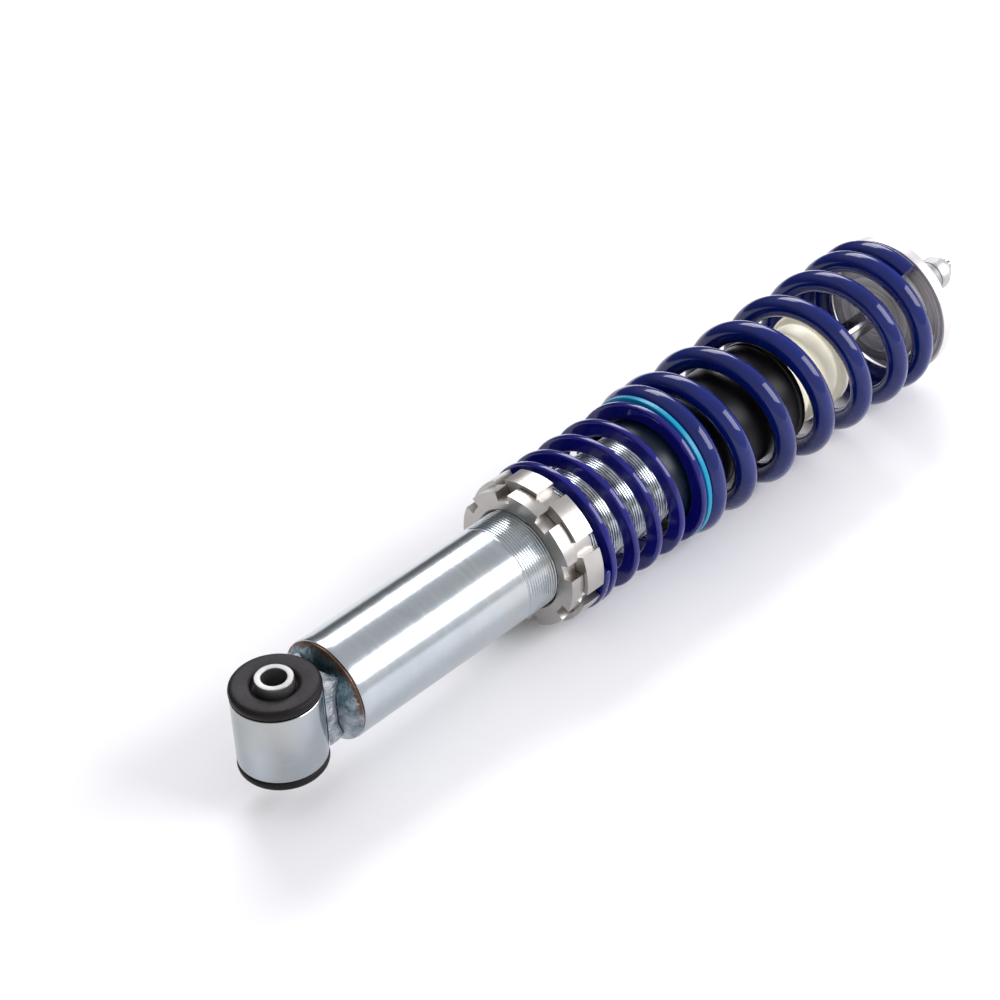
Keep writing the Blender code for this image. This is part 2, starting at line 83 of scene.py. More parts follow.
class Look:
    """A material's node tree with short calls for the nodes used here."""

    def __init__(self, name):
        self.material = bpy.data.materials.new(name)
        self.material.use_nodes = True
        self.tree = self.material.node_tree
        self.shader = self.tree.nodes["Principled BSDF"]
        coord = self.tree.nodes.new("ShaderNodeTexCoord")
        self.place = coord.outputs["Object"]

    def link(self, value, socket):
        """Wires a socket to another one, or gives it a number or a colour."""
        if isinstance(value, bpy.types.NodeSocket):
            self.tree.links.new(value, socket)
        elif isinstance(value, tuple) and len(value) == 3 and len(socket.default_value) == 4:
            socket.default_value = (*value, 1.0)
        else:
            socket.default_value = value

    def set(self, **inputs):
        names = {
            "colour": "Base Color",
            "rough": "Roughness",
            "metal": "Metallic",
            "coat": "Coat Weight",
            "coat_rough": "Coat Roughness",
            "coat_ior": "Coat IOR",
            "specular": "Specular IOR Level",
            "normal": "Normal",
        }
        for key, value in inputs.items():
            self.link(value, self.shader.inputs[names[key]])

    def math(self, operation, a, b=0.0, c=0.0):
        node = self.tree.nodes.new("ShaderNodeMath")
        node.operation = operation
        for socket, value in zip(node.inputs, (a, b, c)):
            self.link(value, socket)
        return node.outputs[0]

    def split(self, vector):
        node = self.tree.nodes.new("ShaderNodeSeparateXYZ")
        self.link(vector, node.inputs[0])
        return node.outputs

    def join(self, x, y, z):
        node = self.tree.nodes.new("ShaderNodeCombineXYZ")
        for socket, value in zip(node.inputs, (x, y, z)):
            self.link(value, socket)
        return node.outputs[0]

    def noise(self, vector, scale, detail=3.0, rough=0.55):
        node = self.tree.nodes.new("ShaderNodeTexNoise")
        self.link(vector, node.inputs["Vector"])
        node.inputs["Scale"].default_value = scale
        node.inputs["Detail"].default_value = detail
        node.inputs["Roughness"].default_value = rough
        return node.outputs["Fac"]

    def remap(self, value, low, high, out_low, out_high):
        node = self.tree.nodes.new("ShaderNodeMapRange")
        node.clamp = True
        for socket, number in zip(node.inputs[:5], (value, low, high, out_low, out_high)):
            self.link(number, socket)
        return node.outputs[0]

    def mix(self, share, a, b):
        node = self.tree.nodes.new("ShaderNodeMix")
        node.data_type = "RGBA"
        self.link(share, node.inputs["Factor"])
        self.link(a, node.inputs[MIX_COLOUR_A])
        self.link(b, node.inputs[MIX_COLOUR_B])
        return node.outputs[MIX_COLOUR_OUT]

    def bump(self, height, strength, distance, under=None):
        node = self.tree.nodes.new("ShaderNodeBump")
        node.inputs["Strength"].default_value = strength
        node.inputs["Distance"].default_value = distance
        self.link(height, node.inputs["Height"])
        if under is not None:
            self.link(under, node.inputs["Normal"])
        return node.outputs[0]

    def about_axis(self, upright=False):
        """Station along the strut's axis, distance from it and angle round it.

        If upright, they are about the eye's axis instead.
        """
        x, y, z = self.split(self.place)
        if upright:
            along = z
            first = self.math("SUBTRACT", x, EYE_X)
            second = y
        else:
            along = x
            first = y
            second = self.math("SUBTRACT", z, AXIS_Z)
        squares = [self.math("MULTIPLY", side, side) for side in (first, second)]
        far = self.math("SQRT", self.math("ADD", *squares))
        return along, far, self.math("ARCTAN2", second, first)


def shaded(colour, share):
    """A colour made darker or paler by a share."""
    return tuple(channel * share for channel in colour)


def metal(name, colour, rough, upright=False, turned=0.0, ridges=0.0, drawn=0.0, blotch=0.06):
    """Bare or plated metal, clouded by blotch.

    turned and ridges are the depths of fine and coarse lathe rings on a face, and drawn is that of
    fine lines round a bar. ridges also paints shade into the grooves between its coarse rings.
    """
    look = Look(name)
    along, far, _ = look.about_axis(upright)
    cloud = look.noise(look.place, 55.0, 4.0)
    fine = look.noise(look.place, 900.0, 2.0)
    shade = look.mix(look.remap(cloud, 0.35, 0.68, 0.0, 1.0), colour, shaded(colour, 0.86))
    patches = look.math("MULTIPLY", look.math("SUBTRACT", cloud, 0.5), blotch * 2.0)
    grain = look.math("MULTIPLY", look.math("SUBTRACT", fine, 0.5), 0.05)
    gloss = look.math("ADD", look.math("ADD", patches, rough), grain)
    normal = look.bump(fine, 0.06, 0.0002)
    if drawn:
        lines = look.noise(look.join(along, 0.0, 0.0), 3800.0, 2.0)
        normal = look.bump(lines, drawn, 0.0001, normal)
    if turned:
        rings = look.noise(look.join(far, 0.0, 0.0), 3200.0, 2.0)
        normal = look.bump(rings, turned, 0.0001, normal)
    if ridges:
        coarse = look.noise(look.join(far, 0.0, 0.0), 520.0, 3.0, 0.7)
        normal = look.bump(coarse, ridges, 0.0009, normal)
        # painted shade: the grooves between the coarse ridges are darkened towards half the colour
        painted_groove_shade = look.remap(coarse, 0.40, 0.60, 0.0, 0.85)
        shade = look.mix(painted_groove_shade, shade, shaded(colour, 0.5))
    look.set(colour=shade, rough=gloss, metal=1.0, normal=normal)
    return look.material


def zinc(name, upright=False, tone=1.0):
    """Blue-white zinc plating over ground steel, with a faint straw cast in patches."""
    look = Look(name)
    along, _, angle = look.about_axis(upright)
    stretched = look.join(along, look.math("MULTIPLY", angle, 0.004), 0.0)
    cloud = look.noise(look.place, 34.0, 5.0)
    bands = look.noise(stretched, 420.0, 4.0)
    lines = look.noise(stretched, 3000.0, 3.0)
    fine = look.noise(look.place, 1400.0, 2.0)
    stain = look.noise(look.place, 21.0, 6.0, 0.6)
    pale = shaded((0.49, 0.53, 0.565), tone)
    dull = shaded((0.43, 0.475, 0.50), tone)
    straw = shaded((0.55, 0.525, 0.455), tone)
    shade = look.mix(look.remap(cloud, 0.38, 0.66, 0.0, 1.0), pale, dull)
    shade = look.mix(look.remap(stain, 0.50, 0.68, 0.0, 0.55), shade, straw)
    shade = look.mix(look.remap(bands, 0.45, 0.75, 0.0, 0.35), shade, shaded(pale, 1.1))
    matt = look.remap(bands, 0.4, 0.8, 0.0, 0.04)
    gloss = look.math("ADD", look.remap(cloud, 0.3, 0.7, 0.165, 0.205), matt)
    normal = look.bump(lines, 0.14, 0.00005, look.bump(fine, 0.16, 0.0001))
    look.set(colour=shade, rough=gloss, metal=1.0, normal=normal)
    return look.material


def gloss_paint(name, colour, deep):
    """Powder coat: a deep colour under a clear skin, with orange peel and a few dull specks."""
    look = Look(name)
    cloud = look.noise(look.place, 70.0, 3.0)
    peel = look.noise(look.place, 420.0, 2.0)
    specks = look.noise(look.place, 1800.0, 2.0)
    shade = look.mix(look.remap(cloud, 0.35, 0.7, 0.0, 1.0), colour, deep)
    dust = look.remap(specks, 0.62, 0.8, 0.0, 0.15)
    look.set(
        colour=shade,
        rough=look.math("ADD", look.remap(cloud, 0.3, 0.7, 0.20, 0.30), dust),
        metal=0.0,
        normal=look.bump(peel, 0.07, 0.0004),
        coat=1.0,
        coat_rough=0.035,
        coat_ior=1.42,
        specular=0.04,
    )
    return look.material


def moulded(name, colour, second, rough, grain=0.15, scale=900.0, specular=0.4):
    """Moulded rubber, plastic or foam with a fine skin."""
    look = Look(name)
    cloud = look.noise(look.place, 60.0, 4.0)
    skin = look.noise(look.place, scale, 3.0)
    shade = look.mix(look.remap(cloud, 0.35, 0.68, 0.0, 1.0), colour, second)
    patches = look.remap(cloud, 0.3, 0.7, rough - 0.06, rough + 0.06)
    gloss = look.math("ADD", patches, look.remap(skin, 0.5, 0.8, 0.0, 0.06))
    normal = look.bump(skin, grain, 0.0003)
    look.set(colour=shade, rough=gloss, metal=0.0, normal=normal, specular=specular)
    return look.material


def separator_look():
    """Turquoise plastic, with painted shade that makes its sleeve, deep between the coils, near
    black.
    """
    look = Look("separator_plastic")
    _, far, _ = look.about_axis()
    skin = look.noise(look.place, 1200.0, 3.0)
    cloud = look.noise(look.place, 60.0, 4.0)
    ring = look.mix(cloud, (0.0, 0.26, 0.44), (0.0, 0.21, 0.38))
    # painted shade: the turquoise sleeve, inside the ring's radius, is painted near black for the
    # shade between the coils
    shade = look.mix(look.remap(far, 0.0296, 0.0340, 0.0, 1.0), (0.0, 0.008, 0.022), ring)
    gloss = look.remap(skin, 0.3, 0.8, 0.28, 0.40)
    normal = look.bump(skin, 0.1, 0.0003)
    look.set(colour=shade, rough=gloss, metal=0.0, normal=normal, specular=0.35)
    return look.material


def weld_look():
    """Silvery weld bead with blue-grey clouds and straw heat colours in patches."""
    look = Look("weld_bead")
    cloud = look.noise(look.place, 140.0, 4.0)
    grit = look.noise(look.place, 700.0, 4.0)
    dark, silver = (0.17, 0.22, 0.26), (0.50, 0.52, 0.55)
    shade = look.mix(look.remap(cloud, 0.38, 0.62, 0.0, 1.0), dark, silver)
    shade = look.mix(look.remap(grit, 0.60, 0.72, 0.0, 0.6), shade, (0.36, 0.27, 0.18))
    gloss = look.remap(grit, 0.3, 0.7, 0.22, 0.48)
    look.set(colour=shade, rough=gloss, metal=1.0, normal=look.bump(grit, 0.9, 0.0010))
    return look.material


def cap_look():
    """Plated cap by the weld: teal above, greyer below, and a ragged burnt line at its rim."""
    look = Look("plated_cap")
    along, _, _ = look.about_axis()
    cloud = look.noise(look.place, 150.0, 5.0, 0.62)
    grit = look.noise(look.place, 520.0, 4.0)
    height = look.math("SUBTRACT", look.split(look.place)[2], AXIS_Z)
    paler = look.math("SUBTRACT", cloud, look.math("MULTIPLY", height, 9.0))
    teal, grey = (0.085, 0.150, 0.180), (0.46, 0.50, 0.55)
    shade = look.mix(look.remap(paler, 0.34, 0.68, 0.0, 1.0), teal, grey)
    jitter = look.math("MULTIPLY", look.math("SUBTRACT", grit, 0.5), 0.0055)
    ragged = look.math("ADD", along, jitter)
    burnt = look.remap(ragged, EYE_X + 0.0254, EYE_X + 0.0266, 0.0, 1.0)
    burnt = look.math("MULTIPLY", burnt, look.remap(height, -0.008, 0.004, 0.12, 0.95))
    shade = look.mix(burnt, shade, (0.115, 0.062, 0.034))
    gloss = look.remap(grit, 0.3, 0.7, 0.24, 0.46)
    normal = look.bump(cloud, 0.45, 0.0012, look.bump(grit, 0.25, 0.0005))
    look.set(colour=shade, rough=gloss, metal=1.0, normal=normal)
    return look.material


# ---------------------------------------------------------------- mesh helpers


def put(name, points, faces, material, body, node, sharp=32.0, edges=()):
    """Makes a piece from points in the strut's own frame, in a CAD node's place, on its body."""
    mesh = bpy.data.meshes.new(name)
    world = [((x * MM) + EYE_X, y * MM, (z * MM) + AXIS_Z) for x, y, z in points]
    mesh.from_pydata(world, edges, faces)
    if faces:
        shape = bmesh.new()
        shape.from_mesh(mesh)
        bmesh.ops.recalc_face_normals(shape, faces=shape.faces)
        shape.to_mesh(mesh)
        shape.free()
        mesh.shade_smooth()
        mesh.set_sharp_from_angle(angle=math.radians(sharp))
    mesh.materials.append(material)
    obj = bpy.data.objects.new(name, mesh)
    bpy.context.scene.collection.objects.link(obj)
    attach(obj, body)
    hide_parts(node)
    return obj


def soften(profile, radius, steps=3):
    """Rounds the corners of a closed profile of (station, radius) points.

    A point may bring a rounding of its own as a third number. Corners on the axis stay sharp.
    """
    out = []
    count = len(profile)
    for index, here in enumerate(profile):
        corner = Vector(here[:2])
        own = here[2] if len(here) > 2 else radius
        to_before = Vector(profile[index - 1][:2]) - corner
        to_after = Vector(profile[(index + 1) % count][:2]) - corner
        cut = min(own, to_before.length * 0.48, to_after.length * 0.48)
        if cut < 0.02 or here[1] == 0.0:
            out.append(tuple(corner))
            continue
        first = corner + to_before.normalized() * cut
        last = corner + to_after.normalized() * cut
        for step in range(steps + 1):
            share = step / steps
            point = first * (1 - share) ** 2 + corner * 2 * share * (1 - share) + last * share**2
            out.append(tuple(point))
    return out


def lathe(
    name, profile, material, body, node, around, upright=False, sharp=32.0, shape=None
):
    """A closed turned piece about the strut's axis, or about the eye's if upright.

    shape(station, radius, angle) may change the radius.
    """
    points = []
    faces = []
    loops = []
    for station, radius in profile:
        if radius <= 0.0:
            loops.append([len(points)])
            points.append((station, 0.0, 0.0))
            continue
        loops.append(list(range(len(points), len(points) + around)))
        for step in range(around):
            angle = 2.0 * math.pi * step / around
            far = shape(station, radius, angle) if shape else radius
            points.append((station, far * math.cos(angle), far * math.sin(angle)))
    pairs = list(zip(loops, loops[1:]))
    if profile[0][1] > 0.0:
        pairs.append((loops[-1], loops[0]))
    for first, second in pairs:
        for step in range(around):
            after = (step + 1) % around
            if len(first) == 1 and len(second) == 1:
                continue
            if len(first) == 1:
                faces.append((first[0], second[after], second[step]))
            elif len(second) == 1:
                faces.append((first[step], first[after], second[0]))
            else:
                faces.append((first[step], first[after], second[after], second[step]))
    if upright:
        points = [(y, z, x) for x, y, z in points]
    put(name, points, faces, material, body, node, sharp)


def ramp(value, low, high):
    """Integral of a line that climbs from 0 at low to 1 at high."""
    if value <= low:
        return 0.0
    if value >= high:
        return value - (low + high) / 2.0
    return (value - low) ** 2 / (2.0 * (high - low))


# ---------------------------------------------------------------- materials

ZINC_BODY = zinc("zinc_body")
ZINC_EYE = zinc("zinc_eye", upright=True, tone=0.82)
ZINC_CAP = cap_look()
STEEL = metal("plain_steel", (0.60, 0.60, 0.59), 0.26, drawn=0.08)
STEEL_PIN = metal("plated_pin", (0.30, 0.30, 0.295), 0.42, upright=True, turned=0.5)
CHROME = metal("hard_chrome", (0.46, 0.46, 0.475), 0.17, blotch=0.015)
RING = metal(
    "turned_aluminium_ring", (0.50, 0.48, 0.455), 0.30, turned=0.25, drawn=0.15, blotch=0.05
)
PLATE = metal(
    "turned_aluminium_plate", (0.84, 0.81, 0.795), 0.45, turned=0.9, ridges=1.0, blotch=0.04
)
SLEEVE = metal("plated_sleeve", (0.36, 0.365, 0.365), 0.55, drawn=0.15)
NUT = metal("plated_nut", (0.50, 0.505, 0.50), 0.60)
BRONZE = metal("bronze", (0.60, 0.42, 0.22), 0.30)
RUBBER = moulded(
    "bush_rubber_skin", (0.0065, 0.0048, 0.0052), (0.011, 0.0085, 0.0090), 0.46, 0.25, 700.0, 0.17
)
BLACK = moulded(
    "dust_tube_plastic",
    (0.0026, 0.0024, 0.0030),
    (0.0038, 0.0034, 0.0040),
    0.34,
    0.10,
    1200.0,
    0.20,
)
FOAM = moulded(
    "bump_stop_foam", (0.98, 0.93, 0.75), (0.96, 0.90, 0.69), 0.42, 0.12, 1500.0, 0.50
)
TURQUOISE = separator_look()
NYLON = moulded("nylon", (0.11, 0.055, 0.03), (0.09, 0.045, 0.025), 0.40)
BLUE = gloss_paint("blue_coat", (0.0012, 0.0095, 0.130), (0.0008, 0.0065, 0.092))
VIOLET = gloss_paint("violet_blue_coat", (0.0048, 0.0050, 0.165), (0.0034, 0.0036, 0.118))
WELD = weld_look()

# ---------------------------------------------------------------- lower eye

EYE_WALL = 3.2

eye_half = ends("lower_eye", 2)[1]
eye_r = reach("lower_eye")
eye_in = eye_r - EYE_WALL
eye_profile = soften(
    [
        (-eye_half, eye_in),
        (-eye_half, eye_r),
        (eye_half, eye_r),
        (eye_half, eye_in),
    ],
    0.7,
)
lathe("eye_shell", eye_profile, ZINC_EYE, "damper_body", "lower_eye", 128, upright=True)

pin_half = ends("bush_sleeve", 2)[1]
pin_r = reach("bush_sleeve")
PIN_BORE_R = 5.75
pin_profile = soften(
    [
        (-pin_half, PIN_BORE_R),
        (-pin_half, pin_r, 0.6),
        (pin_half, pin_r, 0.6),
        (pin_half, PIN_BORE_R),
    ],
    0.5,
)
lathe("eye_pin_sleeve", pin_profile, STEEL_PIN, "eye_pin", "bush_sleeve", 72, upright=True)

bush_top = ends("bush_rubber", 2)[1]
bush_r = reach("bush_rubber")
bore = pin_r + FIT
flange_low = eye_half + FIT
bush_half = [
    (bush_top - 2.8, bore + 0.02),
    (bush_top - 2.6, bore + 1.0),
    (bush_top - 1.2, bore + 1.5),
    (bush_top - 0.5, bore + 2.1),
    (bush_top - 0.25, bore + 3.2),
    (bush_top - 0.10, bush_r - 4.5),
    (bush_top - 0.05, bush_r - 2.4),
    (bush_top - 0.20, bush_r - 1.5),
    (bush_top - 0.62, bush_r - 0.7),
    (bush_top - 1.3, bush_r - 0.22),
    (bush_top - 2.2, bush_r),
    (flange_low + 0.9, bush_r - 0.15),
    (flange_low + 0.25, bush_r - 0.7),
    (flange_low, bush_r - 1.4),
    (flange_low, eye_in - FIT),
]
bush_profile = bush_half + [(-station, radius) for station, radius in reversed(bush_half)]
lathe("eye_bush", bush_profile, RUBBER, "damper_body", "bush_rubber", 112, upright=True, sharp=60.0)


TUBE_WALL = 1.6

cap_x, cap_end = ends("base_cap")
tube_start, tube_end = ends("damper_tube")
tube_r = reach("damper_tube")
tube_in = tube_r - TUBE_WALL
rim_x = tube_start - FIT
rim_r = tube_r - 0.25

# The cap's face is flat as far as this radius, and slopes back from there to its edge.
CAP_FLAT_R = 15.5
CAP_EDGE_X = rim_x - 0.9


def cap_face(radius):
    """Station of the cap's face at a distance from the axis."""
    slope = (CAP_EDGE_X - cap_x) / (rim_r - CAP_FLAT_R)
    return cap_x + max(0.0, radius - CAP_FLAT_R) * slope


# The weld reaches this far round the eye to either side, and this far from the axis on the cap.
WELD_SPREAD = math.radians(41.0)
WELD_FOOT = 13.4


def weld_row(z, half, wing):
    """Outline of the weld at a height: along the eye, out to the cap, across it and back."""
    flank_steps = 9
    face_steps = 13
    out = eye_r + FIT
    arc = np.linspace(-WELD_SPREAD, WELD_SPREAD, 25)
    row = [(out * math.cos(angle), out * math.sin(angle)) for angle in arc]
    tip_x, tip_y = row[-1]
    end = 1.0 - min(1.0, (half - abs(z)) / 1.6)
    dabs = (
        abs(math.sin(z / 2.4 * math.pi + 0.9 * math.sin(z * 0.7))),
        abs(math.sin((z + 0.9) / 2.6 * math.pi + 0.8 * math.sin(z * 0.6))),
    )
    flank_x = cap_face(math.hypot(WELD_FOOT, z)) - FIT
    flanks = []
    for sign, dab in zip((1.0, -1.0), dabs):
        flank = []
        for step in range(1, flank_steps + 1):
            share = step / flank_steps
            swell = math.sin(math.pi * min(1.0, share * 1.04)) * (0.4 + 0.7 * dab)
            swell -= 0.9 * end * share
            x = tip_x + (flank_x - tip_x) * share + swell * 0.25
            y = tip_y + (WELD_FOOT - tip_y) * share**2.1 + swell * 0.7
            flank.append((min(x, flank_x), sign * min(y, wing)))
        flanks.append(flank)
    row.extend(flanks[0])
    for y in np.linspace(0.86 * WELD_FOOT, -0.86 * WELD_FOOT, face_steps):
        row.append((cap_face(math.hypot(y, z)) - FIT, y))
    row.extend(reversed(flanks[1]))
    return row


def weld_saddle():
    """The weld between eye and cap: flanks that ripple with each dab of the rod."""
    half = ends("eye_weld", 2)[1]
    wing = ends("eye_weld", 1)[1]
    levels = 66
    points = []
    faces = []
    for level in range(levels + 1):
        z = -half + 2.0 * half * level / levels
        row = weld_row(z, half, wing)
        points.extend((x, y, z) for x, y in row)
    size = len(row)
    for level in range(levels):
        for step in range(size):
            after = (step + 1) % size
            here = level * size
            faces.append((here + step, here + after, here + size + after, here + size + step))
    faces.append(tuple(range(size)))
    faces.append(tuple(levels * size + step for step in range(size)))
    put("eye_weld_bead", points, faces, WELD, "damper_body", "eye_weld", 70.0)


weld_saddle()

# ---------------------------------------------------------------- damper body

cap_profile = soften(
    [
        (cap_x, 0.0),
        (cap_x, CAP_FLAT_R, 3.0),
        (CAP_EDGE_X, rim_r, 0.6),
        (rim_x, rim_r, 0.35),
        (rim_x, tube_in - FIT, 0.2),
        (cap_end, tube_in - FIT, 0.4),
        (cap_end, 0.0),
    ],
    0.5,
    6,
)
lathe("body_cap", cap_profile, ZINC_CAP, "damper_body", "base_cap", 128)

THREAD_START = 132.3
THREAD_PITCH = 1.5
THREAD_DEEP = 0.50
THREAD_ROWS_A_TURN = 8


def threaded_tube():
    """The body tube: plain at the eye's end, and a cut thread from there on."""
    around = 96
    points = []
    faces = []

    def loop(station, radius):
        base = len(points)
        for step in range(around):
            angle = 2.0 * math.pi * step / around
            points.append((station, radius * math.cos(angle), radius * math.sin(angle)))
        return base

    def strip(first, second):
        for step in range(around):
            after = (step + 1) % around
            faces.append((first + step, first + after, second + after, second + step))

    loops = [
        loop(tube_start, tube_in),
        loop(tube_start, tube_r - 0.4),
        loop(tube_start + 0.15, tube_r - 0.12),
        loop(tube_start + 0.5, tube_r),
    ]
    for station in np.linspace(tube_start + 4.0, THREAD_START - 0.9, 12):
        loops.append(loop(float(station), tube_r))
    loops.append(loop(THREAD_START - 0.5, tube_r - 0.25))
    fine = THREAD_PITCH / THREAD_ROWS_A_TURN
    rows = int((tube_end - 2.5 - THREAD_START) / fine)
    thread_end = THREAD_START + fine * rows
    for row in range(rows + 1):
        station = THREAD_START + fine * row
        fade = min(1.0, (station - THREAD_START) / 0.8, (thread_end - station) / 1.0)
        fade = max(fade, 0.0)
        base = len(points)
        for step in range(around):
            angle = 2.0 * math.pi * step / around
            phase = (station / THREAD_PITCH - step / around) % 1.0
            saw = abs(phase - 0.5) * 2.0
            groove = min(1.0, max(0.0, (saw - 0.38) * 2.6))
            radius = tube_r - 0.08 - THREAD_DEEP * groove * fade - 0.2 * (1.0 - fade)
            points.append((station, radius * math.cos(angle), radius * math.sin(angle)))
        loops.append(base)
    loops.append(loop(tube_end - 0.7, tube_r - 0.5))
    loops.append(loop(tube_end, tube_r - 1.0))
    loops.append(loop(tube_end, tube_in))
    for first, second in zip(loops, loops[1:]):
        strip(first, second)
    strip(loops[-1], loops[0])
    put("body_tube", points, faces, ZINC_BODY, "damper_body", "damper_tube", 25.0)


threaded_tube()

# ---------------------------------------------------------------- castellated rings


NOTCHES = 8
NOTCH_DEEP = 4.6
NOTCH_WIDE = 8.2
RING_GAP = 0.35
RING_CHAMFER = 0.9


def castle(name, node, body, phase):
    """A spanner ring: square notches round its rim, broken edges and a chamfered bore."""
    low, high = ends(node)
    out = reach(node)
    hole = tube_r + RING_GAP
    pitch = 360.0 / NOTCHES
    half = math.degrees(math.asin(NOTCH_WIDE / 2.0 / out))
    angles = []
    for index in range(NOTCHES):
        middle = phase + pitch * index
        angles.extend((a, True) for a in np.linspace(middle - half + 0.03, middle + half - 0.03, 6))
        angles.extend((a, False) for a in np.linspace(middle + half, middle + pitch - half, 13))
    layers = (
        (low, hole + RING_CHAMFER, False),
        (low, out, True),
        (high, out, True),
        (high, hole + RING_CHAMFER, False),
        (high - RING_CHAMFER, hole, False),
        (low + RING_CHAMFER, hole, False),
    )
    points = []
    faces = []
    around = len(angles)
    for station, radius, rim in layers:
        for degrees, cut in angles:
            angle = math.radians(degrees)
            far = radius - NOTCH_DEEP if rim and cut else radius
            points.append((station, far * math.cos(angle), far * math.sin(angle)))
    for layer in range(len(layers)):
        here = layer * around
        there = ((layer + 1) % len(layers)) * around
        for step in range(around):
            after = (step + 1) % around
            faces.append((here + step, here + after, there + after, there + step))
    obj = put(name, points, faces, RING, body, node, 28.0)
    bevel = obj.modifiers.new("broken_edges", "BEVEL")
    bevel.width = 0.0007
    bevel.segments = 2
    bevel.limit_method = "ANGLE"
    bevel.angle_limit = math.radians(40.0)
    bevel.harden_normals = False


castle("lock_ring_cut", "lock_ring", "lock", 31.0)
castle("perch_ring_cut", "perch_ring", "perch", 17.0)

# ---------------------------------------------------------------- springs

# Each spring shortens by half of the rod's travel of 78 mm.
STEPS_A_TURN = 72

HELPER_THICK = 3.6
HELPER_IN = 30.0
HELPER_TURNS = 5.45
HELPER_PITCH = 16.0
FIRST_TURN = 4.2
helper_low, helper_high = ends("helper_spring")
helper_out = reach("helper_spring")


def helper_rise(turn):
    """Climb of the flat wire: a closed first turn, open turns, and an end that lies flat."""
    climb = ramp(turn, 0.9, 1.1)
    steeper = ramp(turn, 4.0, 4.1)
    level = ramp(turn, 4.735, 4.885)
    return FIRST_TURN * min(turn, 1.0) + HELPER_PITCH * (climb + 0.25 * steeper - 1.25 * level)


def helper_spring():
    """Flat wire on edge: a helical ribbon that is given its thickness after any squash."""
    count = int(HELPER_TURNS * STEPS_A_TURN)
    across = 4
    points = []
    faces = []
    for step in range(count + 1):
        turn = HELPER_TURNS * step / count
        angle = math.radians(180.0) + 2.0 * math.pi * turn
        station = helper_low + HELPER_THICK / 2.0 + helper_rise(turn)
        for lane in range(across + 1):
            radius = HELPER_IN + (helper_out - HELPER_IN) * lane / across
            points.append((station, radius * math.cos(angle), radius * math.sin(angle)))
    lanes = across + 1
    for step in range(count):
        for lane in range(across):
            a = step * lanes + lane
            faces.append((a, a + lanes, a + lanes + 1, a + 1))
    obj = put("helper_coil", points, faces, VIOLET, "seat", "helper_spring", 60.0)
    thick = obj.modifiers.new("wire_thickness", "SOLIDIFY")
    thick.thickness = HELPER_THICK * MM
    thick.offset = 0.0
    thick.use_even_offset = False
    bevel = obj.modifiers.new("rolled_edges", "BEVEL")
    bevel.width = 0.00125
    bevel.segments = 4
    bevel.limit_method = "ANGLE"
    bevel.angle_limit = math.radians(50.0)
    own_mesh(obj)


helper_spring()

spring_low, spring_high = ends("main_spring")
spring_out = reach("main_spring")
WIRE_R = 5.5
SPRING_MEAN = spring_out - WIRE_R
SPRING_TURNS = 7.272
SPRING_PITCH = 29.85


def spring_rise(turn):
    """Climb of the round wire: closed at both ends, at full pitch in the middle."""
    closed = 0.72 * ramp(turn, 0.40, 0.50)
    opened = 0.28 * ramp(turn, 1.2, 1.4)
    fall = ramp(turn, SPRING_TURNS - 2.15, SPRING_TURNS + 0.515)
    return SPRING_PITCH * (closed + opened - fall)


def wire_nodes(radius, sides, material):
    """Geometry nodes that turn a chain of edges into round wire with flat ends."""
    group = bpy.data.node_groups.new("round_wire", "GeometryNodeTree")
    group.interface.new_socket("Geometry", in_out="INPUT", socket_type="NodeSocketGeometry")
    group.interface.new_socket("Geometry", in_out="OUTPUT", socket_type="NodeSocketGeometry")
    source = group.nodes.new("NodeGroupInput")
    target = group.nodes.new("NodeGroupOutput")
    chain = group.nodes.new("GeometryNodeMeshToCurve")
    circle = group.nodes.new("GeometryNodeCurvePrimitiveCircle")
    circle.inputs["Resolution"].default_value = sides
    circle.inputs["Radius"].default_value = radius
    sweep = group.nodes.new("GeometryNodeCurveToMesh")
    sweep.inputs["Fill Caps"].default_value = True
    smooth = group.nodes.new("GeometryNodeSetShadeSmooth")
    paint = group.nodes.new("GeometryNodeSetMaterial")
    paint.inputs["Material"].default_value = material
    link = group.links.new
    link(source.outputs[0], chain.inputs[0])
    link(chain.outputs[0], sweep.inputs["Curve"])
    link(circle.outputs[0], sweep.inputs["Profile Curve"])
    link(sweep.outputs[0], smooth.inputs[0])
    link(smooth.outputs[0], paint.inputs[0])
    link(paint.outputs[0], target.inputs[0])
    return group


def main_spring():
    """Round wire with closed ends, swept along a chain so that a squash keeps it round."""
    count = int(SPRING_TURNS * STEPS_A_TURN)
    points = []
    edges = []
    for step in range(count + 1):
        turn = SPRING_TURNS * step / count
        angle = math.radians(21.0) + 2.0 * math.pi * turn
        station = spring_low + WIRE_R + spring_rise(turn)
        points.append((station, SPRING_MEAN * math.cos(angle), SPRING_MEAN * math.sin(angle)))
        if step:
            edges.append((step - 1, step))
    obj = put("main_coil", points, [], BLUE, "coil", "main_spring", edges=edges)
    wire = obj.modifiers.new("round_wire", "NODES")
    wire.node_group = wire_nodes(WIRE_R * MM, 28, BLUE)
    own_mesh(obj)


main_spring()

GUIDE_IN = 28.0
FLANGE_THICK = 2.8
ring_low, ring_high = ends("spring_separator")
ring_out = reach("spring_separator")
flange_x = ring_low + 13.0
flange_end = flange_x + FLANGE_THICK
guide_out = SPRING_MEAN - WIRE_R - 0.6
separator = soften(
    [
        (ring_low, GUIDE_IN),
        (ring_low, guide_out),
        (flange_x, guide_out, 0.2),
        (flange_x, ring_out, 0.7),
        (flange_end, ring_out, 0.7),
        (flange_end, guide_out, 0.2),
        (ring_high, guide_out),
        (ring_high, GUIDE_IN),
    ],
    0.4,
)
lathe("separator_ring", separator, TURQUOISE, "coil", "spring_separator", 112)

# ---------------------------------------------------------------- dust tube and bump stop

